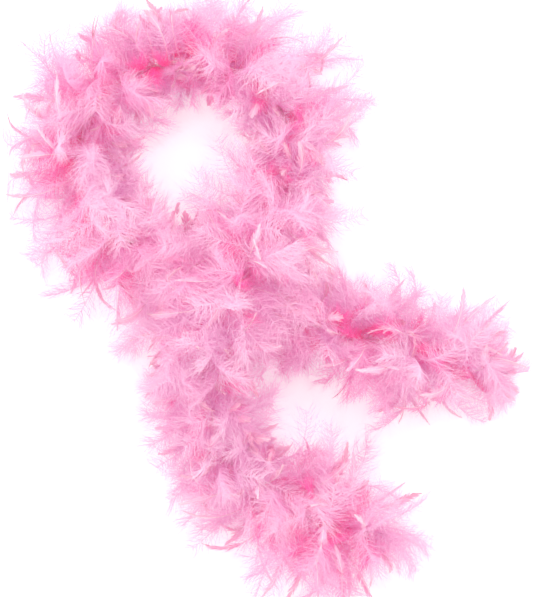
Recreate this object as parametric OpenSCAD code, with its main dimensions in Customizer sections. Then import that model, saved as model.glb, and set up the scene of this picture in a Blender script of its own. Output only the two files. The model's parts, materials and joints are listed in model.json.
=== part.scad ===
// Feather boa, laid down in an open loop with its two tails crossing below the loop.
// Millimetres, +Z up from the surface that it lies on, +Y from the lower tail towards the loop.
// A place on the boa is given by its station: the distance along the core from the right end.
// The strand with the low stations passes under the other one where they cross.

/* [Core] */
// Diameter of the core twine with the quill ends laid on it
core_d = 6; // [5:0.5:7]
// Sides of the core's cross-section
core_sides = 10; // [8:1:12]
// Distance between two rings of the core's surface
core_ring_gap = 24; // [12:2:30]

/* [Feathers] */
// Distance along the core from one feather to the next
feather_pitch = 4.5; // [4.5:0.5:12]
// Length of a feather from the core to its tip
feather_len = 88; // [60:1:92]
// Width of a feather at its widest
feather_w = 25; // [12:1:26]
// Thickness of a feather, quill and barbs together
feather_t = 0.8; // [0.6:0.1:1]
// How far the feathers lean along the core, towards the nearer end
feather_lean = 25; // [15:1:30]
// How far each feather is turned about its own quill
feather_roll = 24; // [0:2:24]
// How far the last feathers lean, to cover the end of the core
end_lean = 66; // [40:1:70]
// How high the feathers stand above the core
plume_rise = 68; // [40:1:80]

/* [Binding] */
// Thickness of a turn of the binding thread
thread_t = 0.8; // [0.6:0.1:1.2]
// Width of a turn of the binding thread
thread_w = 1.2; // [0.8:0.1:1.4]
// Length of the lashing at each end of the core
whipping_len = 9; // [6:1:10]

/* [Ends] */
// Diameter of the knot at each end
knot_d = 15; // [12:1:18]
// Length of the knot at each end
knot_len = 13; // [10:1:16]
// Diameter of the bare twine past the knot
twine_d = 4; // [3:0.5:5]
// Length of the bare twine past the knot
twine_len = 22; // [10:1:30]

/* [Hidden] */
// The core's route, from the right end round the loop to the lower end
ROUTE = [
    [290, -105, 48], [235, -95, 48], [175, -75, 48], [105, -60, 48], [35, -40, 42],
    [-35, -15, 35], [-110, 15, 38], [-175, 55, 46], [-230, 105, 48], [-255, 165, 48],
    [-255, 220, 48], [-220, 270, 48], [-165, 305, 48], [-100, 315, 48], [-45, 300, 48],
    [0, 270, 48], [25, 215, 48], [25, 155, 52], [5, 95, 74], [-35, 35, 102],
    [-70, -30, 106], [-90, -100, 78], [-85, -170, 54], [-55, -230, 48], [0, -280, 48],
    [60, -310, 48], [125, -325, 48]
];
ROUTE_STEPS = 6;      // pieces of each curve between two points of the route
TANGENT_REACH = 9;    // how far each side of a station its direction is taken from

// Hinges stand in for the bending of the limp core. At each bend, the strand first
// swings sideways and then, 40 mm further on, lifts.
RIGHT_TIP_LIFT = 85;
RIGHT_TIP_SWING = 125;
RIGHT_LIFT = 222;
RIGHT_SWING = 262;
LOWER_SWING = 1420;
LOWER_LIFT = 1460;
LOWER_TIP_SWING = 1590;
LOWER_TIP_LIFT = 1630;
SWINGS = [RIGHT_TIP_SWING, RIGHT_SWING, LOWER_SWING, LOWER_TIP_SWING];
LIFTS = [RIGHT_TIP_LIFT, RIGHT_LIFT, LOWER_LIFT, LOWER_TIP_LIFT];
SOFT_LEN = 40;        // stretch past each lift whose feathers give way when it bends
KNUCKLE_R = core_d / 2 + 0.4;
KNUCKLE_GAP = 1.4;    // clearance of the core's cut ends from a knuckle
LOOP_GROUPS = 14;     // groups that the loop's feathers are kept in

// Where the strands cross, in plan, and the plan directions of the two strands there
CROSSING = [-57, -2];
UPPER_DIR = [-0.47, -0.88];
LOWER_DIR = [-0.93, 0.37];
CROSSING_Z = 72;      // height of the boundary between the two strands at the crossing
CROSSING_SLOPE = 0.48;
CROSSING_REACH = 260;
CROSSING_GAP = 1.5;   // clearance that a feather keeps from the boundary

GOLDEN_ANGLE = 137.508;
END_ZONE = 60;        // stretch at each end over which the lean grows
MIDDLE_ZONE = 120;    // stretch each side of the middle over which the lean turns over
END_SHORTER = 0.8;    // length of the last feather as a share of the others
SHORTEST = 0.86;      // length of the shortest feather as a share of the longest
QUILL_W = 3;          // width of a feather at its quill and at its tip
QUILL_SINK = 0.3;     // how deep a quill is pressed into the core
BLADE_STEPS = 6;      // straight pieces of each edge of a feather
LEAST_LEN = 14;       // a feather with less room than this is left out
FLOOR_GAP = 1;        // clearance of a colliding feather from the surface
SOFT_FLOOR_GAP = 5;   // clearance of the feathers that give way
MARCH = 4;            // step of the search for a feather's free length
TURN_EVERY = 3;       // feathers from one modelled turn of the binding thread to the next
THREAD_GAP = 0.05;    // clearance of the thread from the core's corners
CLEAR_OF_HINGE = 6;   // no quill or thread this near to a hinge

RIGHT = ["right_tip", "right_tip_bend", "right_tail", "right_bend"];
LOWER = ["lower_bend", "lower_tail", "lower_tip_bend", "lower_tip"];
SECTIONS = concat(RIGHT, ["loop"], LOWER);
LOOP_FEATHERS = [for (i = [1:LOOP_GROUPS]) str("loop_feathers_", i < 10 ? "0" : "", i)];
FEATHERS = concat(
    [for (s = RIGHT) str(s, "_feathers")],
    ["right_tip_soft_feathers", "right_tail_soft_feathers"],
    LOOP_FEATHERS,
    [for (s = LOWER) str(s, "_feathers")],
    ["lower_tip_soft_feathers", "lower_tail_soft_feathers"]
);
CORES = [for (s = SECTIONS) str(s, "_core")];
BINDINGS = [for (s = SECTIONS) str(s, "_binding")];
ENDS = [
    "right_end_whipping", "right_end_knot", "right_twine_end",
    "lower_end_whipping", "lower_end_knot", "lower_twine_end"
];

// --- the core's curve ---

function curve_at(a, b, c, d, t) =
    0.5 * (2 * b + (c - a) * t + (2 * a - 5 * b + 4 * c - d) * t * t
        + (3 * b - a - 3 * c + d) * t * t * t);

LAST = len(ROUTE) - 1;
CURVE = [
    for (i = [0:LAST - 1], k = [0:ROUTE_STEPS - 1])
        curve_at(ROUTE[max(i - 1, 0)], ROUTE[i], ROUTE[i + 1], ROUTE[min(i + 2, LAST)],
            k / ROUTE_STEPS),
    ROUTE[LAST]
];
LENGTHS = [
    for (i = 0, sum = 0; i < len(CURVE);
        sum = sum + (i + 1 < len(CURVE) ? norm(CURVE[i + 1] - CURVE[i]) : 0), i = i + 1) sum
];
CORE_LEN = LENGTHS[len(LENGTHS) - 1];
MIDDLE = CORE_LEN / 2;
X_AT = [for (i = [0:len(CURVE) - 1]) [LENGTHS[i], CURVE[i].x]];
Y_AT = [for (i = [0:len(CURVE) - 1]) [LENGTHS[i], CURVE[i].y]];
Z_AT = [for (i = [0:len(CURVE) - 1]) [LENGTHS[i], CURVE[i].z]];
HINGES = [
    RIGHT_TIP_LIFT, RIGHT_TIP_SWING, RIGHT_LIFT, RIGHT_SWING,
    LOWER_SWING, LOWER_LIFT, LOWER_TIP_SWING, LOWER_TIP_LIFT
];
EDGES = concat([0], HINGES, [CORE_LEN]);

function unit(v) = v / norm(v);
function place(s) = [lookup(s, X_AT), lookup(s, Y_AT), lookup(s, Z_AT)];
function along(s) =
    unit(place(min(s + TANGENT_REACH, CORE_LEN)) - place(max(s - TANGENT_REACH, 0)));
function heading(s) = let (t = along(s)) atan2(t.y, t.x);
function climb(s) = asin(along(s).z);
function side(s) = [-sin(heading(s)), cos(heading(s)), 0];
function upward(s) = cross(along(s), side(s));

// Puts its children at a station, with X along the core and Z away from the surface
module at_station(s) {
    translate(place(s)) rotate([0, -climb(s), heading(s)]) children();
}

// --- core, binding and ends ---

function core_ring(s) = [
    for (k = [0:core_sides - 1])
        let (a = 360 * k / core_sides)
            place(s) + core_d / 2 * (cos(a) * side(s) + sin(a) * upward(s))
];

// A length of the core between two stations, as one swept solid
module core_tube(from, to) {
    rings = max(1, round((to - from) / core_ring_gap));
    points = [for (i = [0:rings]) each core_ring(from + (to - from) * i / rings)];
    walls = [
        for (i = [0:rings - 1], k = [0:core_sides - 1])
            let (a = i * core_sides + k, b = i * core_sides + (k + 1) % core_sides)
                [a, a + core_sides, b + core_sides, b]
    ];
    first = [for (k = [0:core_sides - 1]) k];
    last = [for (k = [core_sides - 1:-1:0]) rings * core_sides + k];
    polyhedron(points, concat([first, last], walls));
}

function is_hinge(s) = len([for (h = HINGES) if (abs(h - s) < 1) h]) > 0;
function is_bend(i) = i == 1 || i == 3 || i == 5 || i == 7;

// A section of the core. A bend also carries the round knuckle at each of its two hinges.
module core(i) {
    gap = KNUCKLE_R + KNUCKLE_GAP;
    from = EDGES[i] + (is_hinge(EDGES[i]) ? gap : 0);
    to = EDGES[i + 1] - (is_hinge(EDGES[i + 1]) ? gap : 0);
    color("wheat") {
        core_tube(from, to);
        if (is_bend(i))
            for (s = [EDGES[i], EDGES[i + 1]])
                knuckle(s);
    }
}

module knuckle(s) {
    swings = len([for (h = SWINGS) if (h == s) h]) > 0;
    translate(place(s)) rotate([0, 0, heading(s)]) rotate([swings ? 0 : 90, 0, 0])
        cylinder(r = KNUCKLE_R, h = core_d, center = true, $fn = 32);
}

// Turns of the binding thread between the quills of one section
module binding(i) {
    color("lightpink")
        for (k = [0:TURN_EVERY:FEATHER_COUNT - 1]) {
            s = station(k) + feather_pitch / 2;
            if (s > EDGES[i] + CLEAR_OF_HINGE && s < EDGES[i + 1] - CLEAR_OF_HINGE)
                at_station(s) rotate([0, 90, 0]) thread_turn(thread_w);
        }
}

// A ring of thread on the core, centred on the origin along Z
module thread_turn(w) {
    difference() {
        cylinder(r = core_d / 2 + thread_t, h = w, center = true, $fn = 48);
        cylinder(r = core_d / 2 + THREAD_GAP, h = w + 2, center = true, $fn = 48);
    }
}

// The ends are drawn along -X from the right end and along +X from the lower end
module at_end(right) {
    at_station(right ? 0 : CORE_LEN) rotate([0, right ? -90 : 90, 0]) children();
}

module whipping(right) {
    color("lightpink") at_end(right) translate([0, 0, -whipping_len / 2])
        thread_turn(whipping_len);
}

// A knot with rounded shoulders, face to face with the end of the core
module knot(right) {
    flat = core_d / 2;
    round_r = (knot_d - core_d) / 2;
    color("wheat") at_end(right) rotate_extrude($fn = 48) intersection() {
        union() {
            square([flat, knot_len]);
            translate([flat, knot_len / 2]) resize([2 * round_r, knot_len])
                circle(r = round_r, $fn = 40);
        }
        square([knot_d, knot_len]);
    }
}

module twine_end(right) {
    color("wheat") at_end(right) translate([0, 0, knot_len])
        cylinder(r = twine_d / 2, h = twine_len, $fn = 24);
}

// --- feathers ---

FIRST_STATION = whipping_len + 3;
FEATHER_COUNT = floor((CORE_LEN - 2 * FIRST_STATION) / feather_pitch) + 1;
LENGTH_SHARES = rands(SHORTEST, 1, FEATHER_COUNT, 7);

function station(k) = FIRST_STATION + k * feather_pitch;
function to_end(s) = min(s, CORE_LEN - s);
function mix(a, b, t) = a + (b - a) * max(0, min(1, t));

// Lean towards the nearer end, over towards the lower end where it is positive
function lean(s) =
    mix(-1, 1, (s - MIDDLE + MIDDLE_ZONE) / (2 * MIDDLE_ZONE))
        * mix(end_lean, feather_lean, to_end(s) / END_ZONE);
function full_len(k) =
    feather_len * LENGTH_SHARES[k] * mix(END_SHORTER, 1, to_end(station(k)) / END_ZONE);
function half_width(u) = QUILL_W / 2 + (feather_w - QUILL_W) / 2 * sin(180 * u);

// Height of the boundary between the two strands over a point of the plan
function cross2(a, b) = abs(a.x * b.y - a.y * b.x);
function boundary(p) =
    let (v = [p.x - CROSSING.x, p.y - CROSSING.y])
        CROSSING_Z + CROSSING_SLOPE * (cross2(UPPER_DIR, v) - cross2(LOWER_DIR, v));
function near_crossing(p) = norm([p.x, p.y] - CROSSING) < CROSSING_REACH;

function is_free(p, upper) =
    !near_crossing(p)
    || (upper ? p.z > boundary(p) + CROSSING_GAP : p.z < boundary(p) - CROSSING_GAP);

// The free length of a feather from a point of the core: it grows in steps while both of its
// edges stay on their own side of the boundary
function free_len(p, dir, across, upper, most, t = MARCH) =
    let (
        reach = min(t, most),
        edge = (QUILL_W / 2 + feather_w / 2) * across,
        tip = p + reach * dir
    )
    !(is_free(tip + edge, upper) && is_free(tip - edge, upper) && is_free(tip, upper))
        ? t - MARCH
        : t >= most ? most : free_len(p, dir, across, upper, most, t + MARCH);

// Length of feather k in the room that it has: over the surface, under the plume's top, and on
// its own strand's side of the boundary
function room(k, floor_gap) =
    let (
        s = station(k),
        p = place(s),
        a = lean(s),
        phi = k * GOLDEN_ANGLE,
        out = cos(phi) * upward(s) - sin(phi) * side(s),
        dir = sin(a) * along(s) + cos(a) * out,
        across = cross(along(s), out),
        down = dir.z < -0.01 ? (p.z - floor_gap - QUILL_W / 2 * abs(across.z)) / -dir.z : 1e3,
        up = dir.z > 0.01 ? plume_rise / dir.z : 1e3
    )
    free_len(p, dir, across, s > MIDDLE, min(full_len(k), down, up));

// One feather: a leaf-shaped blade from its quill to its tip
module feather(length, width) {
    base = core_d / 2 - QUILL_SINK;
    edge = [for (i = [0:BLADE_STEPS]) let (u = i / BLADE_STEPS)
        [base + (length - base) * u, half_width(u) * width / feather_w]];
    other = [for (i = [BLADE_STEPS:-1:0]) [edge[i].x, -edge[i].y]];
    linear_extrude(feather_t, center = true) polygon(concat(edge, other));
}

// The feathers whose quills lie between two stations
module feathers(from, to, floor_gap = FLOOR_GAP) {
    color("pink")
        for (k = [0:FEATHER_COUNT - 1]) {
            s = station(k);
            at_hinge = len([for (h = HINGES) if (abs(h - s) < CLEAR_OF_HINGE) h]) > 0;
            if (s >= from && s < to && !at_hinge) {
                length = room(k, floor_gap);
                if (length > LEAST_LEN)
                    at_station(s) rotate([k * GOLDEN_ANGLE, 0, 0]) rotate([0, lean(s) - 90, 0])
                        rotate([feather_roll, 0, 0])
                            feather(length, min(feather_w, length / 2));
            }
        }
}

// --- nodes ---

for (i = [0:len(SECTIONS) - 1]) {
    core(i);
    binding(i);
}

LOOP_STEP = (LOWER_SWING - RIGHT_SWING) / LOOP_GROUPS;
for (i = [0:LOOP_GROUPS - 1])
    feathers(RIGHT_SWING + i * LOOP_STEP, RIGHT_SWING + (i + 1) * LOOP_STEP);

feathers(0, RIGHT_TIP_LIFT - SOFT_LEN);  // right_tip_feathers
feathers(RIGHT_TIP_LIFT - SOFT_LEN, RIGHT_TIP_LIFT, SOFT_FLOOR_GAP);  // right_tip_soft_feathers
feathers(RIGHT_TIP_LIFT, RIGHT_TIP_SWING, SOFT_FLOOR_GAP);  // right_tip_bend_feathers
feathers(RIGHT_TIP_SWING, RIGHT_LIFT - SOFT_LEN);  // right_tail_feathers
feathers(RIGHT_LIFT - SOFT_LEN, RIGHT_LIFT, SOFT_FLOOR_GAP);  // right_tail_soft_feathers
feathers(RIGHT_LIFT, RIGHT_SWING, SOFT_FLOOR_GAP);  // right_bend_feathers
feathers(LOWER_SWING, LOWER_LIFT, SOFT_FLOOR_GAP);  // lower_bend_feathers
feathers(LOWER_LIFT, LOWER_LIFT + SOFT_LEN, SOFT_FLOOR_GAP);  // lower_tail_soft_feathers
feathers(LOWER_LIFT + SOFT_LEN, LOWER_TIP_SWING);  // lower_tail_feathers
feathers(LOWER_TIP_SWING, LOWER_TIP_LIFT, SOFT_FLOOR_GAP);  // lower_tip_bend_feathers
feathers(LOWER_TIP_LIFT, LOWER_TIP_LIFT + SOFT_LEN, SOFT_FLOOR_GAP);  // lower_tip_soft_feathers
feathers(LOWER_TIP_LIFT + SOFT_LEN, CORE_LEN);  // lower_tip_feathers

whipping(true);  // right_end_whipping
knot(true);  // right_end_knot
twine_end(true);  // right_twine_end
whipping(false);  // lower_end_whipping
knot(false);  // lower_end_knot
twine_end(false);  // lower_twine_end
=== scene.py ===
"""A pink feather boa, laid in an open loop with its two tails crossed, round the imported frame.

Lengths are in metres. A place on the boa is given by its station: the distance along the core from
the right end. Each feather is a curved shaft with downy barbs, and some end in a flat vane.
"""

import json
import math

import bpy
import numpy as np
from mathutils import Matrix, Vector

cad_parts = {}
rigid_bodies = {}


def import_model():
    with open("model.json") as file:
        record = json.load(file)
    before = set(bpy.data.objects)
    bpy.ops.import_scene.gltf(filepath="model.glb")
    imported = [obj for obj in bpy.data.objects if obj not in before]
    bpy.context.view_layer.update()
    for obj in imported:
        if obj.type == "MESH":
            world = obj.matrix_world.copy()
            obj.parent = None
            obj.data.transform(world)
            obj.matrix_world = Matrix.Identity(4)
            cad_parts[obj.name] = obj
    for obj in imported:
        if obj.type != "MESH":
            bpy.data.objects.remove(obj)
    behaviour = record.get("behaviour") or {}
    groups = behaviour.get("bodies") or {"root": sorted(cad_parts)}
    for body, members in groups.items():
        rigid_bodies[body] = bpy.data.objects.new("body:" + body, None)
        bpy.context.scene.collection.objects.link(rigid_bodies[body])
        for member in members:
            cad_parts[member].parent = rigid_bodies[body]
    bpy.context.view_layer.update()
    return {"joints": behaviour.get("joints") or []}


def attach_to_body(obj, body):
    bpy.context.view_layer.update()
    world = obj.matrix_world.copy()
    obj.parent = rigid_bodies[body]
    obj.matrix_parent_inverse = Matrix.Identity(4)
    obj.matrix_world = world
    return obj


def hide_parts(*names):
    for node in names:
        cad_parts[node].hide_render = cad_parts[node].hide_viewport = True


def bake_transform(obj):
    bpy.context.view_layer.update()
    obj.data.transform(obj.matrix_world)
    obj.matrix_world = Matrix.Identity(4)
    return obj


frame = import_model()
RANDOM = np.random.default_rng(7)

MM = 0.001
UP = np.array([0.0, 0.0, 1.0])

# --- the camera: above the middle of what it sees, tipped a little towards -Y ---

VIEW_CENTRE = (-0.005, -0.010, 0.050)
VIEW_HEIGHT = 0.812          # how much of the surface shows, from the picture's top to its bottom
CAMERA_DISTANCE = 3.4
CAMERA_ELEVATION = 87.0
SENSOR = 36.0


def add_camera():
    data = bpy.data.cameras.new("camera")
    data.sensor_width = SENSOR
    data.lens = SENSOR * CAMERA_DISTANCE / VIEW_HEIGHT
    camera = bpy.data.objects.new("camera", data)
    bpy.context.scene.collection.objects.link(camera)
    up = math.radians(CAMERA_ELEVATION)
    back = Vector((0, -math.cos(up), math.sin(up)))
    camera.location = Vector(VIEW_CENTRE) + CAMERA_DISTANCE * back
    camera.rotation_euler = (-back).to_track_quat("-Z", "Y").to_euler()
    bpy.context.scene.camera = camera


add_camera()

# --- the core's route, from the right end round the loop to the lower end ---

ROUTE = np.array([
    (0.290, -0.105, 0.048), (0.235, -0.095, 0.048), (0.175, -0.075, 0.048),
    (0.105, -0.060, 0.048), (0.035, -0.040, 0.042), (-0.035, -0.015, 0.035),
    (-0.110, 0.015, 0.038), (-0.175, 0.055, 0.046), (-0.230, 0.105, 0.048),
    (-0.255, 0.165, 0.048), (-0.255, 0.220, 0.048), (-0.220, 0.270, 0.048),
    (-0.165, 0.305, 0.048), (-0.100, 0.315, 0.048), (-0.045, 0.300, 0.048),
    (0.000, 0.270, 0.048), (0.025, 0.215, 0.048), (0.025, 0.155, 0.052),
    (0.005, 0.095, 0.074), (-0.035, 0.035, 0.102), (-0.070, -0.030, 0.106),
    (-0.090, -0.100, 0.078), (-0.085, -0.170, 0.054), (-0.055, -0.230, 0.048),
    (0.000, -0.280, 0.048), (0.060, -0.310, 0.048), (0.125, -0.325, 0.048),
])
ROUTE_STEPS = 24             # pieces of each curve between two points of the route
TANGENT_REACH = 0.009        # how far each side of a station its direction is taken from


def smooth_curve(points, steps):
    """The Catmull-Rom curve through the points."""
    padded = np.vstack([points[:1], points, points[-1:]])
    a, b, c, d = padded[:-3], padded[1:-2], padded[2:-1], padded[3:]
    t = (np.arange(steps) / steps)[None, :, None]
    a, b, c, d = (q[:, None, :] for q in (a, b, c, d))
    curve = 0.5 * (2 * b + (c - a) * t + (2 * a - 5 * b + 4 * c - d) * t ** 2
                   + (3 * b - a - 3 * c + d) * t ** 3)
    return np.vstack([curve.reshape(-1, 3), points[-1:]])


CURVE = smooth_curve(ROUTE, ROUTE_STEPS)
LENGTHS = np.concatenate([[0], np.cumsum(np.linalg.norm(np.diff(CURVE, axis=0), axis=1))])
CORE_LEN = LENGTHS[-1]
TINY = 1e-9                  # added to a product that may vanish, before its direction is taken
LEAST_LENGTH = 1e-12         # least length that a direction is divided by


def unit(v):
    return v / np.maximum(np.linalg.norm(v, axis=-1, keepdims=True), LEAST_LENGTH)


def dot(a, b):
    return (a * b).sum(-1, keepdims=True)


def smooth_step(t):
    t = np.clip(t, 0, 1)
    return t * t * (3 - 2 * t)


def mix(a, b, t):
    """From a where t is 0 to b where it is 1, and no further on either side."""
    return a + (b - a) * np.clip(t, 0, 1)


def place(s):
    """The core's points at stations s, and straight on past its two ends."""
    s = np.asarray(s, float)
    inside = np.stack([np.interp(s, LENGTHS, CURVE[:, k]) for k in range(3)], -1)
    first, last = unit(CURVE[1] - CURVE[0]), unit(CURVE[-1] - CURVE[-2])
    return (inside + np.minimum(s, 0)[..., None] * first
            + np.maximum(s - CORE_LEN, 0)[..., None] * last)


def along(s):
    """The core's direction at stations s, towards the lower end."""
    s = np.asarray(s, float)
    return unit(place(s + TANGENT_REACH) - place(s - TANGENT_REACH))


def side(s):
    """The level direction across the core, to its left."""
    return unit(np.cross(UP, along(s)))


def upward(s):
    """The direction across the core that is nearest to straight up."""
    return np.cross(along(s), side(s))


# --- the stretches of the core: one for each body, and one across each joint ---

BLEND_REACH = 0.035          # how far from a joint its bend reaches, where no other joint is nearer
PAST_END = 1.0               # how far past each end of the core the last stretch takes feathers in


def nearest_station(point):
    return LENGTHS[np.argmin(np.linalg.norm(CURVE - np.array(point), axis=1))]


def find_stretches():
    """(name, from, to, bodies) from the right end to the lower end; a bend has two bodies."""
    joints = sorted((nearest_station(j["pos_m"]), j["name"], {j["parent"], j["child"]})
                    for j in frame["joints"])
    stations = [j[0] for j in joints]
    bodies = [(joints[0][2] - joints[1][2]).pop()]
    for _, _, pair in joints:
        bodies.append((pair - {bodies[-1]}).pop())
    found, reached = [], -PAST_END
    for i, (s, name, _) in enumerate(joints):
        before = BLEND_REACH if i == 0 else min(BLEND_REACH, (s - stations[i - 1]) / 2)
        after = BLEND_REACH if i + 1 == len(joints) else min(BLEND_REACH, (stations[i + 1] - s) / 2)
        if s - before > reached + MM:
            found.append((bodies[i], reached, s - before, (bodies[i],)))
        found.append((name, s - before, s + after, (bodies[i], bodies[i + 1])))
        reached = s + after
    found.append((bodies[-1], reached, CORE_LEN + PAST_END, (bodies[-1],)))
    return found


STRETCHES = find_stretches()


def attach(piece, bodies, nodes):
    """Rides on its one body, or is left unparented between its two, and hides the CAD nodes it
    stands for.
    """
    if len(bodies) == 1:
        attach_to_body(piece, bodies[0])
    else:
        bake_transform(piece)
    if nodes:
        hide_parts(*nodes)


# --- meshes ---

BAKE_UV = "OFBake"           # one UV map serves all the materials


class Sheaf:
    """Quads collected from many small grids, for one mesh."""

    def __init__(self):
        self.points, self.quads, self.uvs, self.slots = [], [], [], []
        self.count = 0

    def add_strips(self, grid, uv, slot, closed=False):
        """grid is (strips, along, across, 3) and uv is (strips, along, across, 2)."""
        strips, rows, columns = grid.shape[:3]
        index = np.arange(strips * rows * columns).reshape(strips, rows, columns) + self.count
        if closed:
            index = np.concatenate([index, index[:, :, :1]], 2)
        corners = [index[:, :-1, :-1], index[:, :-1, 1:], index[:, 1:, 1:], index[:, 1:, :-1]]
        if closed:
            uv = np.concatenate([uv, uv[:, :, -1:] + (uv[:, :, -1:] - uv[:, :, -2:-1])], 2)
        uv_corners = [uv[:, :-1, :-1], uv[:, :-1, 1:], uv[:, 1:, 1:], uv[:, 1:, :-1]]
        quads = np.stack(corners, -1).reshape(-1, 4)
        self.quads.append(quads)
        self.uvs.append(np.stack(uv_corners, -2).reshape(-1, 4, 2))
        self.slots.append(np.full(len(quads), slot, np.int32))
        self.points.append(grid.reshape(-1, 3))
        self.count += grid.size // 3

    def build(self, name, materials):
        points = np.concatenate(self.points)
        quads = np.concatenate(self.quads)
        mesh = bpy.data.meshes.new(name)
        mesh.vertices.add(len(points))
        mesh.vertices.foreach_set("co", points.astype(np.float32).ravel())
        mesh.loops.add(quads.size)
        mesh.loops.foreach_set("vertex_index", quads.astype(np.int32).ravel())
        mesh.polygons.add(len(quads))
        mesh.polygons.foreach_set("loop_start", np.arange(0, quads.size, 4, dtype=np.int32))
        mesh.polygons.foreach_set("material_index", np.concatenate(self.slots))
        mesh.uv_layers.new(name=BAKE_UV)
        mesh.uv_layers[BAKE_UV].data.foreach_set(
            "uv", np.concatenate(self.uvs).astype(np.float32).ravel())
        for material in materials:
            mesh.materials.append(material)
        mesh.update(calc_edges=True)
        mesh.validate()
        mesh.shade_smooth()
        piece = bpy.data.objects.new(name, mesh)
        bpy.context.scene.collection.objects.link(piece)
        return piece


NUDGE = 1e-6                 # keeps a direction across a line defined where the line is upright


def swept_tubes(centres, radii, sides):
    """Tubes (tube, ring, side, 3) round centre lines (tube, ring, 3) with radii (tube, ring)."""
    tangent = unit(np.gradient(centres, axis=1))
    first = unit(np.cross(tangent, np.broadcast_to(UP, tangent.shape)) + NUDGE)
    second = np.cross(tangent, first)
    turn = np.arange(sides) * 2 * math.pi / sides
    ring = (np.cos(turn)[:, None] * first[:, :, None] + np.sin(turn)[:, None] * second[:, :, None])
    return centres[:, :, None] + radii[:, :, None, None] * ring


def strip_uv(strips, rows, columns, u, v_low, v_high):
    """UVs of a strip: u along it, and v across its own narrow band."""
    across = np.linspace(0, 1, columns)[None, None, :]
    v = v_low[:, None, None] + (v_high - v_low)[:, None, None] * across
    u = np.broadcast_to(u[:, :, None], (strips, rows, columns))
    return np.stack([u, np.broadcast_to(v, (strips, rows, columns))], -1)


# --- materials: every pattern is worked out from the UV map ---


def new_material(name):
    material = bpy.data.materials.new(name)
    material.use_nodes = True
    nodes = material.node_tree.nodes
    shader = next(n for n in nodes if n.type == "BSDF_PRINCIPLED")
    return material, material.node_tree, shader


def uv_parts(tree):
    uv = tree.nodes.new("ShaderNodeUVMap")
    uv.uv_map = BAKE_UV
    split = tree.nodes.new("ShaderNodeSeparateXYZ")
    tree.links.new(uv.outputs[0], split.inputs[0])
    return split.outputs["X"], split.outputs["Y"]


def math_node(tree, operation, a, b):
    node = tree.nodes.new("ShaderNodeMath")
    node.operation = operation
    for socket, value in zip(node.inputs, (a, b)):
        if isinstance(value, (int, float)):
            socket.default_value = value
        else:
            tree.links.new(value, socket)
    return node.outputs[0]


def ramp_node(tree, factor, stops):
    node = tree.nodes.new("ShaderNodeValToRGB")
    elements = node.color_ramp.elements
    while len(elements) < len(stops):
        elements.new(0.5)
    for element, (position, colour) in zip(elements, stops):
        element.position = position
        element.color = (*colour, 1)
    tree.links.new(factor, node.inputs[0])
    return node.outputs["Color"]


def mix_colours(tree, share, a, b):
    node = tree.nodes.new("ShaderNodeMix")
    node.data_type = "RGBA"
    tree.links.new(share, node.inputs["Factor"])
    for socket, colour in zip([i for i in node.inputs if i.type == "RGBA"], (a, b)):
        tree.links.new(colour, socket)
    return next(o for o in node.outputs if o.type == "RGBA")


def noise_at(tree, x, y, scale):
    """Noise from 0 to 1 that changes along x and from one band of y to the next."""
    joined = tree.nodes.new("ShaderNodeCombineXYZ")
    tree.links.new(x, joined.inputs[0])
    tree.links.new(y, joined.inputs[1])
    noise = tree.nodes.new("ShaderNodeTexNoise")
    noise.inputs["Scale"].default_value = scale
    noise.inputs["Detail"].default_value = 3.0
    tree.links.new(joined.outputs[0], noise.inputs["Vector"])
    return noise.outputs[0]


BANDS = 32                   # depths of colour, from the palest to the underdown's painted shade
DOWN_BAND, VANE_BAND, SHAFT_BAND = (0.0, 0.42), (0.44, 0.86), (0.88, 1.0)
FEATHER_ROUGHNESS, FEATHER_SHEEN = 0.5, 0.15
SHEEN_TINT = (1.0, 0.82, 0.88, 1)
# the underdown's colour: painted shade, a deep pink for the clefts between the tufts
UNDERDOWN_SHADE = [(0.0, (0.92, 0.03, 0.22)), (0.5, (0.94, 0.10, 0.38)), (1.0, (0.95, 0.22, 0.52))]
GLOW_COLOUR = (0.77, 0.25, 0.57, 1)      # painted glow: emission standing in for light that has passed through many barbs


def soft_sheen(shader, roughness, weight, tint=(1, 1, 1, 1)):
    shader.inputs["Roughness"].default_value = roughness
    shader.inputs["Sheen Weight"].default_value = weight
    shader.inputs["Sheen Roughness"].default_value = 0.45
    shader.inputs["Sheen Tint"].default_value = tint
    shader.inputs["Specular IOR Level"].default_value = 0.3


def feather_material(name, band, pale, deep, glow):
    """A dyed feather, with painted shade and glow: colour from root to tip, and between pale and
    deep by its band of the UV map.
    """
    material, tree, shader = new_material(name)
    u, v = uv_parts(tree)
    low, high = band
    depth = math_node(tree, "MULTIPLY", math_node(tree, "SUBTRACT", v, low), 1 / (high - low))
    share = ramp_node(tree, depth, [(0.0, (0, 0, 0)), (1 - 1 / BANDS, (1, 1, 1))])
    # the ramps deepen towards the root: painted shade for the recesses near the core
    colour = mix_colours(tree, share, ramp_node(tree, u, pale), ramp_node(tree, u, deep))
    # the last band, the underdown's, takes its painted shade
    under = math_node(tree, "GREATER_THAN", depth, 1 - 1 / BANDS)
    colour = mix_colours(tree, under, colour, ramp_node(tree, u, UNDERDOWN_SHADE))
    tree.links.new(colour, shader.inputs["Base Color"])
    soft_sheen(shader, FEATHER_ROUGHNESS, FEATHER_SHEEN, SHEEN_TINT)
    # painted glow: the feathers emit light of their own
    shader.inputs["Emission Color"].default_value = GLOW_COLOUR
    shader.inputs["Emission Strength"].default_value = glow
    return material


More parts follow.
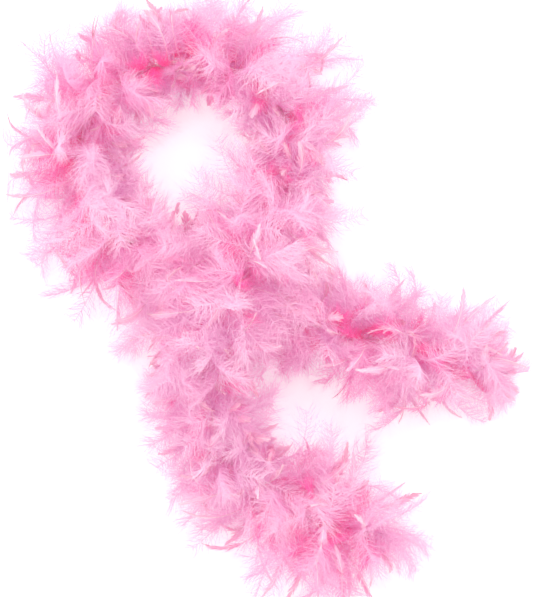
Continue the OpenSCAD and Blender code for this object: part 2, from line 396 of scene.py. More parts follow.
DOWN = feather_material(
    "feather_down", DOWN_BAND,
    [(0.0, (0.86, 0.13, 0.42)), (0.14, (0.86, 0.44, 0.66)), (0.35, (0.87, 0.61, 0.76)),
     (0.9, (0.87, 0.64, 0.75))],
    [(0.0, (0.86, 0.04, 0.22)), (0.16, (0.87, 0.22, 0.47)), (0.4, (0.87, 0.37, 0.61)),
     (0.9, (0.88, 0.44, 0.62))], glow=0.17)
VANE = feather_material(
    "feather_vane", VANE_BAND,
    [(0.0, (0.94, 0.38, 0.60)), (0.6, (0.95, 0.52, 0.69)), (1.0, (0.96, 0.66, 0.72))],
    [(0.0, (0.94, 0.20, 0.45)), (0.6, (0.95, 0.34, 0.58)), (1.0, (0.95, 0.48, 0.66))], glow=0.05)
SHAFT = feather_material(
    "feather_shaft", SHAFT_BAND,
    [(0.0, (0.94, 0.30, 0.52)), (0.35, (0.95, 0.54, 0.69)), (0.6, (0.96, 0.74, 0.77)),
     (1.0, (0.97, 0.88, 0.85))],
    [(0.0, (0.94, 0.20, 0.42)), (0.35, (0.95, 0.42, 0.61)), (0.6, (0.96, 0.70, 0.77)),
     (1.0, (0.97, 0.84, 0.84))], glow=0.05)
FEATHER_MATERIALS = [DOWN, VANE, SHAFT]
DOWN_SLOT, VANE_SLOT, SHAFT_SLOT = range(3)

STRANDS_ROUND = 9.0          # slanting lines of fibre round one strand
FUZZ_SCALE, FUZZ_SHARE = 5.0, 0.6         # of the unevenness laid over those lines
SPUN_SHEEN = 0.3


def spun_material(name, light, dark, turns, roughness):
    """Twisted fibre: fine slanting lines round each strand, turns of them along it."""
    material, tree, shader = new_material(name)
    u, v = uv_parts(tree)
    slant = math_node(tree, "ADD", math_node(tree, "MULTIPLY", u, turns),
                      math_node(tree, "MULTIPLY", v, STRANDS_ROUND))
    wave = math_node(tree, "PINGPONG", slant, 0.5)
    fuzz = noise_at(tree, math_node(tree, "MULTIPLY", u, turns), v, FUZZ_SCALE)
    share = math_node(tree, "ADD", wave, math_node(tree, "MULTIPLY", fuzz, FUZZ_SHARE))
    colour = ramp_node(tree, share, [(0.1, dark), (0.8, light)])
    tree.links.new(colour, shader.inputs["Base Color"])
    soft_sheen(shader, roughness, SPUN_SHEEN)
    return material


TWINE = spun_material("core_twine", (0.93, 0.66, 0.72), (0.72, 0.38, 0.46), 60.0, 0.85)
THREAD = spun_material("binding_thread", (0.95, 0.50, 0.68), (0.80, 0.28, 0.46), 30.0, 0.55)

# --- where a point may lie: over the surface, under the plume's top, and on its own strand's side
# of the boundary between the two strands ---

FLOOR_LOW, FLOOR_SOFT = 0.0010, 0.022     # lowest point of a feather, and where it starts to give
SPLAY = 0.35                              # how far a feather spreads for each length pressed up
RISE, RISE_SOFT = 0.080, 0.020            # height of the plume over the core, and where it gives
ROOM_LOW = np.array([-0.3610, -0.4270])   # the boa's laid outline stays inside these
ROOM_HIGH = np.array([0.3590, 0.4215])
ROOM_SOFT = 0.014
CROSSING = np.array([-0.057, -0.002])
UPPER_DIR = np.array([-0.47, -0.88])
LOWER_DIR = np.array([-0.93, 0.37])
CROSSING_Z = 0.072
CROSSING_SLOPE = 0.48
CROSSING_REACH, CROSSING_FADE = 0.26, 0.04
CROSSING_OVER, CROSSING_SOFT = -0.010, 0.014      # how far feathers pass the boundary, and give


def not_under(height, low, soft):
    """height, bent smoothly from soft so that it never goes under low."""
    room = soft - low
    short = np.maximum(soft - height, 0)
    return np.where(height < soft, soft - room * (1 - np.exp(-short / room)), height)


def cross2(a, b):
    """The size of the cross product of two directions in plan."""
    return np.abs(a[0] * b[..., 1] - a[1] * b[..., 0])


def settled(points, f):
    """Moves points (feather, ..., 3) of feathers f to where there is room for them."""
    def each(values):
        """A feather's value, shaped to go with all of its points."""
        return values.reshape(values.shape[:1] + (1,) * (points.ndim - 2) + values.shape[1:])

    z = points[..., 2]
    top = each(f["core_z"]) + RISE
    z = top - not_under(top - z, 0.0, RISE_SOFT)
    v = points[..., :2] - CROSSING
    boundary = CROSSING_Z + CROSSING_SLOPE * (cross2(UPPER_DIR, v) - cross2(LOWER_DIR, v))
    near = smooth_step((CROSSING_REACH - np.linalg.norm(v, axis=-1)) / CROSSING_FADE)
    over = boundary + not_under(z - boundary, CROSSING_OVER, CROSSING_SOFT)
    under = boundary - not_under(boundary - z, CROSSING_OVER, CROSSING_SOFT)
    z = z + near * (np.where(each(f["upper"]), over, under) - z)
    laid = not_under(z, FLOOR_LOW, FLOOR_SOFT)
    flat = points[..., :2] + SPLAY * each(f["outward"]) * np.maximum(laid - z, 0)[..., None]
    flat = ROOM_LOW + not_under(flat - ROOM_LOW, 0.0, ROOM_SOFT)
    points[..., :2] = ROOM_HIGH - not_under(ROOM_HIGH - flat, 0.0, ROOM_SOFT)
    points[..., 2] = laid
    return points


# --- feathers ---

TUFT_PITCH = 0.0080          # distance along the core from one tuft of feathers to the next
TUFT_SIZE = 6                # feathers in a tuft
TUFT_MARGIN, QUILL_MARGIN = 0.006, 0.003  # least distance of a tuft, and a quill, from an end
TUFT_LEN = 0.0045            # how far quills stray along the core from their tuft
TUFT_FAN = 0.8               # how far they stray round it, in radians
GOLDEN_ANGLE = math.radians(137.508)
FEATHER_LEN = 0.120          # usual length of a feather, measured along its shaft
LONGEST = 0.148              # the longest feather, where the boa is fullest
LONGEST_FLAT = 0.132         # and the longest flat one
SHORTEST_SHARE = 0.78        # length of the shortest in a tuft, as a share of the usual
LEAN, END_LEAN = math.radians(25), math.radians(66)
LEAN_SPREAD = math.radians(19)
END_ZONE = 0.060             # stretch at each end over which the lean grows
MIDDLE_ZONE = 0.120          # stretch each side of the middle over which the lean turns over
FLAT_SHARE = 0.50            # share of the feathers that end in a flat vane
FLAT_LEN = 0.95              # length of a flat feather, as a share of a downy one's
UNDER_LEN = 0.52             # length of the underdown, coloured as painted shade, one in each tuft, as a share
CURL, CURL_SPREAD = 1.15, 0.42            # how far a shaft turns on its way to the tip, in radians
SWAY_SPREAD = 0.16           # how far it turns sideways
FOLDED_SHARE = 0.16          # share of the flat feathers that are folded
FOLD, FOLD_AT = (0.9, 1.7), (0.5, 0.72)   # how far, and at which share of the shaft
CUP_SPREAD = 0.45            # how far the two rows of barbs lift from flat, in radians
CORE_R = 0.003
ROOT_DEPTH = 0.9             # distance of a root from the core's middle, as a share of its radius
SHAFT_STEPS = 12             # points along a shaft
FINE_STEPS = 4 * SHAFT_STEPS              # steps in which a shaft's own curve is worked out
CURL_POWER = 1.4             # how much more a shaft curls near its tip than near its root
FOLD_REACH = 0.07            # share of a shaft over which it folds
# Stations, and the length of the feathers to the left and right there, as shares of the usual
FULLNESS = (
    (0.00, 1.2, 0.8), (0.06, 1.1, 1.2), (0.14, 1.1, 0.9), (0.22, 0.6, 0.8), (0.32, 0.7, 0.9),
    (0.42, 1.1, 1.1), (0.52, 1.6, 0.8), (0.62, 1.5, 0.8), (0.75, 1.3, 0.8), (0.83, 0.8, 0.5),
    (1.00, 1.3, 0.6), (1.12, 0.7, 0.8), (1.20, 1.3, 1.3), (1.32, 0.9, 1.1), (1.46, 1.0, 0.8),
    (1.54, 0.8, 0.9), (1.60, 0.8, 1.1), (1.66, 1.4, 1.4), (1.72, 1.3, 1.5), (1.77, 1.1, 0.7))
# Painted shade, where the feathers are coloured deeper: stations, each with how far it leans to the
# left, or if less than 0, to the right
SHADE_PATCHES = (
    (0.18, 1.0), (0.30, 1.0), (0.43, -1.0), (0.52, 0.0), (0.74, 1.0), (0.80, 0.0), (0.91, -1.0),
    (1.12, -1.0), (1.26, -1.0), (1.64, 0.0), (1.71, -1.0))
PATCH_REACH = 0.055          # how far from its station a patch has faded out
PALE_DEPTH, PATCH_SHADE = 0.12, 0.78      # depth of the colour between patches, and the painted shade that one adds
DYE_SPREAD = 0.16            # how much the depth changes from feather to feather
END_SHARE = (0.54, 0.92)     # length of the feathers at the right end and the lower end
LEAST_PLAN = 0.3             # a feather nearer to upright than this splays less
SIDE_SHARPNESS = 0.7         # how soon a feather that leans to one side counts as on that side


def fullness(s, leftward):
    """The share of the usual length that feathers at stations s reach."""
    stations, left, right = zip(*FULLNESS)
    left, right = (np.interp(s, stations, share) for share in (left, right))
    return mix(right, left, 0.5 + SIDE_SHARPNESS * leftward)


def dye_and_shade_depth(s, leftward):
    """How deep each feather's colour is, 0 palest to 1 deepest: painted shade, and dye that differs
    at random.
    """
    depth = np.full(s.shape, PALE_DEPTH)
    # each patch adds painted shade; the spread added after is the dye's own random tone
    for station, lean in SHADE_PATCHES:
        near = smooth_step(1 - np.abs(s - station) / PATCH_REACH)
        depth = depth + PATCH_SHADE * near * (0.5 + 0.5 * lean * leftward)
    return depth + RANDOM.normal(0, DYE_SPREAD, s.shape)


def scatter_feathers():
    """One row for each feather: where it leaves the core, and how it is shaped."""
    tufts = np.arange(TUFT_MARGIN, CORE_LEN - TUFT_MARGIN, TUFT_PITCH)
    k = np.repeat(np.arange(len(tufts)), TUFT_SIZE)
    n = len(k)
    spread = RANDOM.normal(0, 1, (n, 6))      # the last three of the six are spare
    s = np.clip(tufts[k] + TUFT_LEN * spread[:, 0], QUILL_MARGIN, CORE_LEN - QUILL_MARGIN)
    turn = k * GOLDEN_ANGLE + TUFT_FAN * spread[:, 1]
    to_end = np.minimum(s, CORE_LEN - s)
    lean = mix(-1, 1, (s - CORE_LEN / 2 + MIDDLE_ZONE) / (2 * MIDDLE_ZONE))
    lean = lean * mix(END_LEAN, LEAN, to_end / END_ZONE) + LEAN_SPREAD * spread[:, 2]
    out = np.cos(turn)[:, None] * upward(s) - np.sin(turn)[:, None] * side(s)
    direction = np.sin(lean)[:, None] * along(s) + np.cos(lean)[:, None] * out
    under = np.arange(n) % TUFT_SIZE == 0
    flat = (RANDOM.random(n) < FLAT_SHARE) & ~under
    leftward = (out * side(s)).sum(-1)
    length = FEATHER_LEN * np.where(flat, FLAT_LEN, 1) * np.where(under, UNDER_LEN, 1)
    length = length * RANDOM.uniform(SHORTEST_SHARE, 1.0, n)
    length = length * mix(np.where(s < CORE_LEN / 2, *END_SHARE), 1, to_end / END_ZONE)
    length = np.minimum(length * fullness(s, leftward), np.where(flat, LONGEST_FLAT, LONGEST))
    depth = dye_and_shade_depth(s, leftward)
    rolled = RANDOM.uniform(0, 2 * math.pi, n)
    one = unit(np.cross(direction, unit(RANDOM.normal(0, 1, (n, 3)))))
    normal = np.cos(rolled)[:, None] * one + np.sin(rolled)[:, None] * np.cross(direction, one)
    folded = flat & (RANDOM.random(n) < FOLDED_SHARE)
    plan = np.linalg.norm(out[:, :2], axis=1)
    rows = {
        "s": s, "root": place(s) + CORE_R * ROOT_DEPTH * out, "dir": direction, "normal": normal,
        "flat": flat, "length": length, "core_z": place(s)[:, 2], "upper": s > CORE_LEN / 2,
        "curl": RANDOM.normal(CURL, CURL_SPREAD, n), "sway": RANDOM.normal(0, SWAY_SPREAD, n),
        "fold": np.where(folded, RANDOM.uniform(*FOLD, n), 0.0),
        "fold_at": RANDOM.uniform(*FOLD_AT, n),
        "outward": out[:, :2] / np.maximum(plan, LEAST_PLAN)[:, None],
        "cup": np.abs(RANDOM.normal(0, CUP_SPREAD, n)),
        "phase": RANDOM.uniform(0, 2 * math.pi, n),
        # the underdown takes the last band, whose colour is painted shade
        "band": np.where(under, BANDS - 1, np.clip(np.rint(depth * (BANDS - 2)), 0, BANDS - 2)),
        "along": np.where(s < CORE_LEN / 2, 1, -1)[:, None] * along(s),
    }
    order = np.argsort(s, kind="stable")
    return {name: values[order] for name, values in rows.items()}


FEATHERS = scatter_feathers()
SPARE_NORMAL = 1e-3          # weight of the direction that stands in where a shaft has curled over


def shaft_at(f, t):
    """Points, tangents and normals of the shafts of feathers f at shares t (feather, place)."""
    steps = np.linspace(0, 1, FINE_STEPS + 1)[None, :]

    def bend(at):
        kink = f["fold"][:, None] * smooth_step((at - f["fold_at"][:, None]) / FOLD_REACH)
        return f["curl"][:, None] * at ** CURL_POWER + kink

    def tangent_at(at):
        angle = bend(at)[..., None]
        sway = 2 * f["sway"][:, None, None] * at[..., None]
        across = np.cross(f["dir"], f["normal"])[:, None]
        return unit(np.cos(angle) * f["dir"][:, None] + np.sin(angle) * f["normal"][:, None]
                    + sway * across)

    steps = np.broadcast_to(steps, (len(f["s"]), steps.shape[1]))
    step = f["length"][:, None, None] / FINE_STEPS
    run = np.cumsum(tangent_at((steps[:, 1:] + steps[:, :-1]) / 2) * step, axis=1)
    run = np.concatenate([np.zeros_like(run[:, :1]), run], axis=1)
    at = np.clip(t, 0, 1) * FINE_STEPS
    low = np.minimum(at.astype(int), FINE_STEPS - 1)
    part = (at - low)[..., None]
    rows = np.arange(len(run))[:, None]
    point = f["root"][:, None] + run[rows, low] * (1 - part) + run[rows, low + 1] * part
    tangent = tangent_at(t)
    normal = unit(np.cross(np.cross(tangent, f["normal"][:, None]), tangent) + TINY
                  + np.cross(np.cross(tangent, f["dir"][:, None]), tangent) * SPARE_NORMAL)
    return point, tangent, normal


UV_MARGIN = 0.1              # share of a band left free at each of its edges


def band_of(f, band):
    """The v range of each feather's own band of the UV map."""
    height = (band[1] - band[0]) / BANDS
    low = band[0] + f["band"] * height
    return low + UV_MARGIN * height, low + (1 - UV_MARGIN) * height


QUILL_BOUND = 0.008          # length of quill laid along the core
QUILL_R, DOWN_QUILL_R, TIP_R = 0.95 * MM, 0.55 * MM, 0.05 * MM
SHAFT_TAPER = 0.85           # how much thinner a shaft is at its tip, as a share
BOUND_SHARE = 0.8            # thickness of the bound end of a quill, as a share
SHAFT_SIDES = 4


def add_shafts(sheaf, f, slot, band):
    """The shafts of feathers f, each with a short stretch of quill bound along the core."""
    t = np.broadcast_to(np.linspace(0, 1, SHAFT_STEPS), (len(f["s"]), SHAFT_STEPS))
    point, _, _ = shaft_at(f, t)
    quill = np.where(f["flat"], QUILL_R, DOWN_QUILL_R)[:, None]
    radius = quill * (1 - SHAFT_TAPER * t ** 2) + TIP_R
    bound = point[:, :1] - QUILL_BOUND * f["along"][:, None]
    point = np.concatenate([bound, point], 1)
    radius = np.concatenate([radius[:, :1] * BOUND_SHARE, radius], 1)
    tube = settled(swept_tubes(point, radius, SHAFT_SIDES), f)
    u = np.broadcast_to(np.linspace(0, 1, SHAFT_STEPS + 1), point.shape[:2])
    uv = strip_uv(len(point), SHAFT_STEPS + 1, SHAFT_SIDES, u, *band_of(f, band))
    sheaf.add_strips(tube, uv, slot, closed=True)


DOWN_BARB_LEN, VANE_BARB_LEN = 0.036, 0.015
DOWN_ROOT, VANE_ROOT = 0.55, 0.6          # length of the first barb, as a share of the longest
DOWN_GROWN, VANE_GROWN = 0.5, 0.35        # share of the barbs from which they have grown
DOWN_FULL_FROM = 0.085       # length of feather from which its barbs have their full length
DOWN_LEAST = 0.6             # least length of the barbs of a shorter one, as a share
DOWN_TIP_FROM, DOWN_TIP_LOSS = 0.7, 0.28  # where along the shaft barbs shorten, and by how much
VANE_END = 1.03              # the share at which a vane would come to a point


def down_length(f, t, base):
    """Barbs grow from the root outwards, and are shorter on a short feather and near its tip."""
    grown = mix(DOWN_ROOT, 1, smooth_step(base / DOWN_GROWN))
    size = np.clip(f["length"] / DOWN_FULL_FROM, DOWN_LEAST, 1)[:, None]
    near_tip = smooth_step((t - DOWN_TIP_FROM) / (1 - DOWN_TIP_FROM))
    return DOWN_BARB_LEN * grown * size * (1 - DOWN_TIP_LOSS * near_tip)


def vane_length(_f, _t, base):
    """Barbs of a blade that widens and then narrows to a point."""
    grown = mix(VANE_ROOT, 1, smooth_step(base / VANE_GROWN))
    return VANE_BARB_LEN * grown * (VANE_END - base) ** 0.5


# For each kind of barb: its length, its angles to the shaft at the first and the last barb, its
# width and how much of that it loses by its tip, and how far it bows towards the feather's tip and
# waves on its way, as shares of its length. ruffle and scatter turn single barbs, split gathers
# them into locks, and twist turns a barb's flat side.
DOWN_SHAPE = {
    "length": down_length, "angle": (math.radians(78), math.radians(58)), "steps": 4,
    "width": 0.50 * MM, "taper": 0.75, "ruffle": 0.18, "scatter": 0.36, "split": 0.0,
    "bow": 0.34, "wave": 0.09, "waves": 1.1, "twist": math.pi,
}
VANE_SHAPE = {
    "length": vane_length, "angle": (math.radians(50), math.radians(17)), "steps": 3,
    "width": 1.25 * MM, "taper": 0.6, "ruffle": 0.03, "scatter": 0.04, "split": 0.11,
    "bow": 0.20, "wave": 0.01, "waves": 1.0, "twist": 0.15,
}
LOCKS = 17.0                 # how often the vane's barbs gather into locks, in radians of a wave
BARB_LEN_SPREAD = 0.14       # how much barbs differ in length
BARB_STRAY = 0.4             # how far a barb stands from its even place, in places
BOW_SPREAD = 0.5             # how much barbs differ in their bow
WAVE_SPREAD = 3.0            # how much they differ in where their waves start, in radians
WAVE_RATIO = 0.8             # waves in the breadth of a barb, for each wave out of it
TAPER_POWER = 1.5            # how late a barb narrows
SHAFT_U = 0.8                # share of the UV map's length that a place on the shaft accounts for
DOWN_BARBS = 110             # barbs each side of a downy feather
FLAT_DOWN_BARBS = 72         # downy barbs each side of a flat feather, below its vane
VANE_BARBS = 38              # barbs each side of a vane
DOWNY_PART, FLAT_DOWN_PART, VANE_PART = (0.12, 1.0), (0.10, 0.60), (0.56, 1.0)


def barb_lines(f, t, base, shape, noise):
    """Centre lines of the barbs (feather, barb, step, 3), and the direction of their breadth."""
    point, tangent, normal = shaft_at(f, t)
    count = t.shape[1] // 2
    sign = np.repeat([1.0, -1.0], count)[None, :]
    across = np.cross(tangent, normal) * sign[..., None]
    length = (shape["length"](f, t, base) * (1 + BARB_LEN_SPREAD * noise[0]))[..., None]
    angle = mix(*shape["angle"], base) + shape["ruffle"] * noise[1]
    angle = angle + shape["split"] * np.sin(LOCKS * base + f["phase"][:, None] + sign)
    stand = f["cup"][:, None] + shape["scatter"] * noise[2]
    angle, stand = angle[..., None], stand[..., None]
    out_of_shaft = np.cos(stand) * across + np.sin(stand) * normal
    start = unit(np.cos(angle) * tangent + np.sin(angle) * out_of_shaft)
    flatwise = unit(tangent - dot(tangent, start) * start)
    lifted = unit(np.cross(start, tangent) + TINY)
    u = np.linspace(0, 1, shape["steps"] + 1)
    phase = 2 * math.pi * shape["waves"] * u
    shift, shift_flatwise = (WAVE_SPREAD * noise[k][..., None] for k in (4, 5))
    bow = shape["bow"] * (1 + BOW_SPREAD * noise[3])[..., None] * u ** 2
    wave = shape["wave"] * np.sin(phase + shift) * u
    wave_flatwise = shape["wave"] * np.cos(WAVE_RATIO * phase + shift_flatwise) * u
    line = (point[:, :, None] + (length * u)[..., None] * start[:, :, None]
            + (length * (bow + wave_flatwise))[..., None] * flatwise[:, :, None]
            + (length * wave)[..., None] * lifted[:, :, None])
    twist = shape["twist"] * noise[5][..., None]
    return line, np.cos(twist) * flatwise + np.sin(twist) * lifted


def add_barbs(sheaf, f, slot, band, part, count, shape):
    """count barbs each side of the shafts, over the part of their length that part gives."""
    n, rows = len(f["s"]), shape["steps"] + 1
    if n == 0:
        return
    even = np.tile((np.arange(count) + 0.5) / count, 2)
    base = even[None, :] + RANDOM.uniform(-BARB_STRAY, BARB_STRAY, (n, 2 * count)) / count
    t = mix(*part, base)
    line, breadth = barb_lines(f, t, base, shape, RANDOM.normal(0, 1, (6, n, 2 * count)))
    u = np.linspace(0, 1, rows)
    half = 0.5 * shape["width"] * (1 - shape["taper"] * u ** TAPER_POWER)
    half = half[None, None, :, None] * breadth[:, :, None]
    grid = settled(np.stack([line - half, line + half], 3), f)
    low, high = (np.repeat(edge, 2 * count) for edge in band_of(f, band))
    share = SHAFT_U * t[..., None] + (1 - SHAFT_U) * u
    uv = strip_uv(n * 2 * count, rows, 2, share.reshape(-1, rows), low, high)
    sheaf.add_strips(grid.reshape(n * 2 * count, rows, 2, 3), uv, slot)


def pick(f, chosen):
    """The chosen rows of the feathers f."""
    return {name: values[chosen] for name, values in f.items()}


def plumage(name, low, high):
    """The feathers whose quills lie between two stations, as one piece."""
    f = pick(FEATHERS, (FEATHERS["s"] >= low) & (FEATHERS["s"] < high))
    downy, flat = pick(f, ~f["flat"]), pick(f, f["flat"])
    sheaf = Sheaf()
    add_shafts(sheaf, downy, DOWN_SLOT, DOWN_BAND)
    add_shafts(sheaf, flat, SHAFT_SLOT, SHAFT_BAND)
    add_barbs(sheaf, downy, DOWN_SLOT, DOWN_BAND, DOWNY_PART, DOWN_BARBS, DOWN_SHAPE)
    add_barbs(sheaf, flat, DOWN_SLOT, DOWN_BAND, FLAT_DOWN_PART, FLAT_DOWN_BARBS, DOWN_SHAPE)
    add_barbs(sheaf, flat, VANE_SLOT, VANE_BAND, VANE_PART, VANE_BARBS, VANE_SHAPE)
    return sheaf.build(name, FEATHER_MATERIALS)


# --- twine and thread ---

PLIES, PLY_SIDES = 3, 7
PLY_FIT = 2.1                # radius of the twine over the radius of a ply
LAY = 0.016                  # length of one turn of the plies
PLY_STEP = 0.0022            # length of core from one ring of a ply to the next
THREAD_R, THREAD_SIDES = 0.00035, 5
THREAD_PITCH = 0.0045
THREAD_RINGS = 14            # rings of thread in one turn round the core
LEAST_PLY_RINGS, LEAST_THREAD_RINGS = 8, 12
WHIPPING_LEN = 0.009
WHIPPING_PITCH = 0.00078
WHIPPING_SETBACK = 0.0005    # from the end of the core to the whipping
TWINE_R = 0.002
TWINE_LEN = 0.022            # bare twine past a knot
STRAND_LOW, STRAND_HIGH = 0.02, 0.9       # a strand's own band of the UV map


def spin_uv(strands, rings, sides):
    """UVs of strands, each in its own band of the map."""
    u = np.broadcast_to(np.linspace(0, 1, rings), (strands, rings))
    low = np.arange(strands) / strands
    return strip_uv(strands, rings, sides, u, low + STRAND_LOW, low + STRAND_HIGH / strands)


def helix(s, radius, turn):
    """Points at stations s, at a radius from the core's line and an angle round it."""
    ring = np.cos(turn)[..., None] * side(s) + np.sin(turn)[..., None] * upward(s)
    return place(s) + radius * ring


def twine(name, low, high):
    """The core: plies laid round each other."""
    rings = max(LEAST_PLY_RINGS, int((high - low) / PLY_STEP))
    s = np.broadcast_to(np.linspace(low, high, rings), (PLIES, rings))
    turn = 2 * math.pi * (s / LAY + np.arange(PLIES)[:, None] / PLIES)
    ply_r = CORE_R / PLY_FIT
    sheaf = Sheaf()
    tube = swept_tubes(helix(s, CORE_R - ply_r, turn), np.full(s.shape, ply_r), PLY_SIDES)
    sheaf.add_strips(tube, spin_uv(PLIES, rings, PLY_SIDES), 0, closed=True)
    return sheaf.build(name, [TWINE])


def thread(name, low, high, pitch, radius):
    """A winding of thread round the core."""
    rings = max(LEAST_THREAD_RINGS, int((high - low) / pitch * THREAD_RINGS))
    s = np.linspace(low, high, rings)[None, :]
    line = helix(s, radius, 2 * math.pi * s / pitch)
    sheaf = Sheaf()
    tube = swept_tubes(line, np.full(s.shape, THREAD_R), THREAD_SIDES)
    sheaf.add_strips(tube, spin_uv(1, rings, THREAD_SIDES), 0, closed=True)
    return sheaf.build(name, [THREAD])


OBLIQUE = UP + 0.1           # a direction that no knot's twine sets out along


def carried_frames(path):
    """Two directions across a path (ring, 3), carried along it without twist."""
    tangent = unit(np.gradient(path, axis=0))
    first = [unit(np.cross(tangent[0], OBLIQUE))]
    for t in tangent[1:]:
        first.append(unit(first[-1] - (first[-1] * t).sum() * t))
    first = np.array(first)
    return first, np.cross(tangent, first)


def laid_plies(path, radius, opening=None):
    """The plies of a twine that follows a path, opening out where asked."""
    first, second = carried_frames(path)
    run = np.concatenate([[0], np.cumsum(np.linalg.norm(np.diff(path, axis=0), axis=1))])
    ply_r = radius / PLY_FIT
    spread = (radius - ply_r) * (1 if opening is None else opening)
    turn = 2 * math.pi * (run[None, :] / LAY + np.arange(PLIES)[:, None] / PLIES)
    ring = np.cos(turn)[..., None] * first + np.sin(turn)[..., None] * second
    centres = path + np.broadcast_to(spread, run.shape)[None, :, None] * ring
    return swept_tubes(centres, np.full(centres.shape[:2], ply_r), PLY_SIDES)


def end_frame(right):
    """Origin, outward direction and two directions across, at one end of the core."""
    s = 0.0 if right else CORE_LEN
    outward = -along(s) if right else along(s)
    across = unit(np.cross(UP, outward))
    return place(s), outward, across, np.cross(outward, across)


def in_end_frame(right, local):
    origin, outward, across, over = end_frame(right)
    return (origin + local[:, :1] * across + local[:, 1:2] * over + local[:, 2:] * outward)


KNOT_LEN, KNOT_WRAP_R, KNOT_TURNS = 0.013, 0.0052, 3
KNOT_OFFSET = 0.0011         # of each straight part of the twine from the knot's middle
KNOT_STEPS, WRAP_STEPS = 14, 70           # points along a straight part, and along the turns
WRAP_SWELL = 0.1             # share of the turns over which they reach their full radius
LEAVE_QUICKLY = 3            # how soon the last straight part crosses to the other side
SMOOTHING = np.array([1, 2, 3, 2, 1]) / 9     # weights of five neighbours, to round the corners


def knot_path():
    """A barrel knot: out along the middle, back round it in three turns, and out again."""
    rise = np.linspace(0, 1, KNOT_STEPS)
    out = np.stack([KNOT_OFFSET + 0 * rise, 0 * rise, (KNOT_LEN - TWINE_R) * rise], 1)
    t = np.linspace(0, 1, WRAP_STEPS)
    angle = 2 * math.pi * KNOT_TURNS * t
    swell = smooth_step(t / WRAP_SWELL) * smooth_step((1 - t) / WRAP_SWELL)
    radius = KNOT_OFFSET + (KNOT_WRAP_R - KNOT_OFFSET) * swell
    back = np.stack([radius * np.cos(angle), radius * np.sin(angle),
                     KNOT_LEN - TWINE_R - (KNOT_LEN - 2 * TWINE_R) * t], 1)
    crossing_over = smooth_step(rise * LEAVE_QUICKLY)
    leave = np.stack([KNOT_OFFSET - 2 * KNOT_OFFSET * crossing_over, 0 * rise,
                      TWINE_R + (KNOT_LEN - TWINE_R) * rise], 1)
    path = np.concatenate([out[:-1], back, leave[1:]])
    ends = len(SMOOTHING) // 2
    padded = np.vstack([path[:1]] * ends + [path] + [path[-1:]] * ends)
    return np.stack([np.convolve(padded[:, k], SMOOTHING, "valid") for k in range(3)], 1)


def knot(name, right):
    """The knot that holds one end, outside its whipping."""
    sheaf = Sheaf()
    tube = laid_plies(in_end_frame(right, knot_path()), TWINE_R)
    sheaf.add_strips(tube, spin_uv(*tube.shape[:3]), 0, closed=True)
    return sheaf.build(name, [TWINE])


FRAY_STEPS = 24              # points along a bare end
PLIED_LEN = 0.016            # length of the plies of a bare end; loose fibres run on past them
DROOP, DRIFT = -0.003, 0.002              # how far it sinks and strays sideways by its tip
TUCK = 0.001                 # how far its start lies inside the knot
FRAY_FROM, FRAY_OPENING = 0.55, 0.9       # where the plies start to open, and how far they do
SLACK = 0.9                  # radius of the bare twine, as a share of the twine's
FIBRES, FIBRE_STEPS, FIBRE_SIDES = 60, 7, 3
FIBRE_R = 0.12 * MM
FIBRE_ROOM = 0.0015          # radius of the bundle where the fibres leave the twine
FIBRE_START = 0.010          # how far past the knot they leave it
FIBRE_CENTRE = (0.0005, -0.002)
FLARE, FLARE_POWER = (1.0, 3.2), 1.5      # how much the bundle widens, and how late
SWIRL_SPREAD = 0.7           # how far a fibre strays round the bundle, in radians
SHORTEST_FIBRE = 0.8         # as a share of the longest


def frayed_end(name, right):
    """The bare twine past the knot: its plies open near the tip into loose fibres."""
    t = np.linspace(0, 1, FRAY_STEPS)
    local = np.stack([DRIFT * t ** 2 - KNOT_OFFSET, DROOP * t ** 2,
                      KNOT_LEN - TUCK + PLIED_LEN * t], 1)
    sheaf = Sheaf()
    opening = 1 + FRAY_OPENING * smooth_step((t - FRAY_FROM) / (1 - FRAY_FROM))
    tube = laid_plies(in_end_frame(right, local), TWINE_R * SLACK, opening)
    sheaf.add_strips(tube, spin_uv(*tube.shape[:3]), 0, closed=True)
    angle = RANDOM.uniform(0, 2 * math.pi, FIBRES)[:, None]
    start = FIBRE_ROOM * np.sqrt(RANDOM.uniform(0, 1, FIBRES))[:, None]
    flare = RANDOM.uniform(*FLARE, FIBRES)[:, None]
    u = np.linspace(0, 1, FIBRE_STEPS)[None, :]
    radius = start * (1 + flare * u ** FLARE_POWER)
    swirl = angle + RANDOM.normal(0, SWIRL_SPREAD, FIBRES)[:, None] * u
    reach = (TWINE_LEN - FIBRE_START) * RANDOM.uniform(SHORTEST_FIBRE, 1, FIBRES)[:, None]
    fibres = np.stack([FIBRE_CENTRE[0] + radius * np.cos(swirl),
                       FIBRE_CENTRE[1] + radius * np.sin(swirl),
                       KNOT_LEN + FIBRE_START + reach * u], -1)
    fibres = in_end_frame(right, fibres.reshape(-1, 3)).reshape(fibres.shape)
    tube = swept_tubes(fibres, np.full(fibres.shape[:2], FIBRE_R), FIBRE_SIDES)
    sheaf.add_strips(tube, spin_uv(*tube.shape[:3]), 0, closed=True)
    return sheaf.build(name, [TWINE])


# --- the pieces, stretch by stretch ---

LOOP_GROUPS = 14
GIVING_WAY = {j["name"]: [d["node"] for d in j["deforming_nodes"]] for j in frame["joints"]}


def cad_nodes_of(name, bodies, part):
    """The CAD nodes of one kind that a stretch stands for."""
    if part == "feathers" and len(bodies) == 2:
        return GIVING_WAY[name]
    if len(bodies) == 2:
        return [f"{name.replace('swing', 'bend')}_{part}"] if name.endswith("swing") else []
    return [f"{bodies[0]}_{part}"]


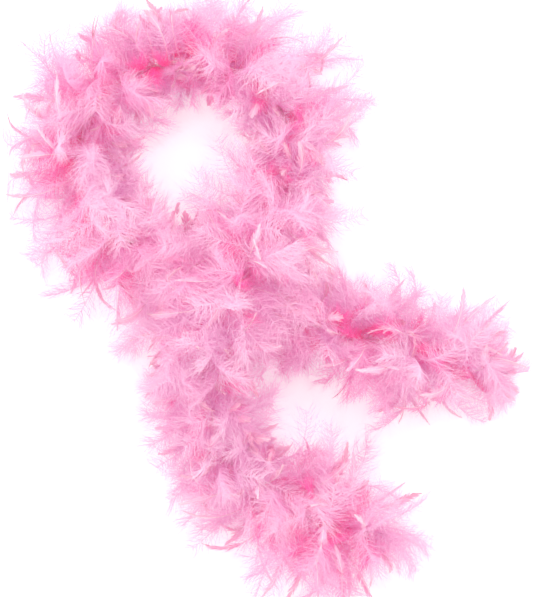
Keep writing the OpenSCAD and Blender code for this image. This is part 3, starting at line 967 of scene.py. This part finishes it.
for name, low, high, bodies in STRETCHES:
    first, last = max(low, 0.0), min(high, CORE_LEN)
    piece = twine(f"{name}_twine", first, last)
    attach(piece, bodies, cad_nodes_of(name, bodies, "core"))
    piece = thread(f"{name}_thread", first, last, THREAD_PITCH, CORE_R + THREAD_R)
    attach(piece, bodies, cad_nodes_of(name, bodies, "binding"))
    if name != "loop":
        piece = plumage(f"{name}_plumage", low, high)
        attach(piece, bodies, cad_nodes_of(name, bodies, "feathers"))
        continue
    for i in range(LOOP_GROUPS):
        a, b = (low + (high - low) * k / LOOP_GROUPS for k in (i, i + 1))
        piece = plumage(f"loop_plumage_{i + 1:02d}", a, b)
        attach(piece, bodies, [f"loop_feathers_{i + 1:02d}"])

for end, body in (("right", "right_tip"), ("lower", "lower_tip")):
    right = end == "right"
    a, b = WHIPPING_SETBACK, WHIPPING_LEN
    if not right:
        a, b = CORE_LEN - b, CORE_LEN - a
    piece = thread(f"{end}_whipping_turns", a, b, WHIPPING_PITCH, CORE_R + THREAD_R)
    attach(piece, (body,), [f"{end}_end_whipping"])
    attach(knot(f"{end}_barrel_knot", right), (body,), [f"{end}_end_knot"])
    attach(frayed_end(f"{end}_frayed_twine", right), (body,), [f"{end}_twine_end"])

# --- floor, world and lamps ---

FLOOR_HALF = 4.0
FLOOR_SHADE, FLOOR_GLOW = 0.70, 0.44      # a pale table that is lit a little from inside
WORLD_LIGHT = 0.96
# Where each lamp stands, its diameter, its power and its colour
KEY_LAMP = ((0.9, 1.2, 2.4), 0.8, 21, (1.0, 0.99, 0.97))
FILL_LAMP = ((-1.6, 0.2, 2.0), 1.6, 14, (1.0, 1.0, 1.0))


def add_floor():
    mesh = bpy.data.meshes.new("floor")
    half = FLOOR_HALF
    mesh.from_pydata([(-half, -half, 0), (half, -half, 0), (half, half, 0), (-half, half, 0)],
                     [], [(0, 1, 2, 3)])
    floor = bpy.data.objects.new("floor", mesh)
    bpy.context.scene.collection.objects.link(floor)
    material, _, shader = new_material("floor_paper")
    shader.inputs["Base Color"].default_value = (FLOOR_SHADE, FLOOR_SHADE, FLOOR_SHADE, 1)
    shader.inputs["Emission Color"].default_value = (1, 1, 1, 1)
    shader.inputs["Emission Strength"].default_value = FLOOR_GLOW
    shader.inputs["Roughness"].default_value = 0.9
    shader.inputs["Specular IOR Level"].default_value = 0.1
    mesh.materials.append(material)


def add_lamp(name, stand, diameter, watts, colour):
    """A round lamp that faces the middle of the boa."""
    data = bpy.data.lights.new(name, "AREA")
    data.shape, data.size, data.energy, data.color = "DISK", diameter, watts, colour
    lamp = bpy.data.objects.new(name, data)
    bpy.context.scene.collection.objects.link(lamp)
    lamp.location = stand
    lamp.rotation_euler = (-Vector(stand)).to_track_quat("-Z", "Y").to_euler()


def light_the_room():
    world = bpy.data.worlds.new("world")
    bpy.context.scene.world = world
    world.use_nodes = True
    background = next(n for n in world.node_tree.nodes if n.type == "BACKGROUND")
    background.inputs["Color"].default_value = (1, 1, 1, 1)
    background.inputs["Strength"].default_value = WORLD_LIGHT
    add_lamp("key", *KEY_LAMP)
    add_lamp("fill", *FILL_LAMP)
    bpy.context.scene.view_settings.view_transform = "Standard"


add_floor()
light_the_room()
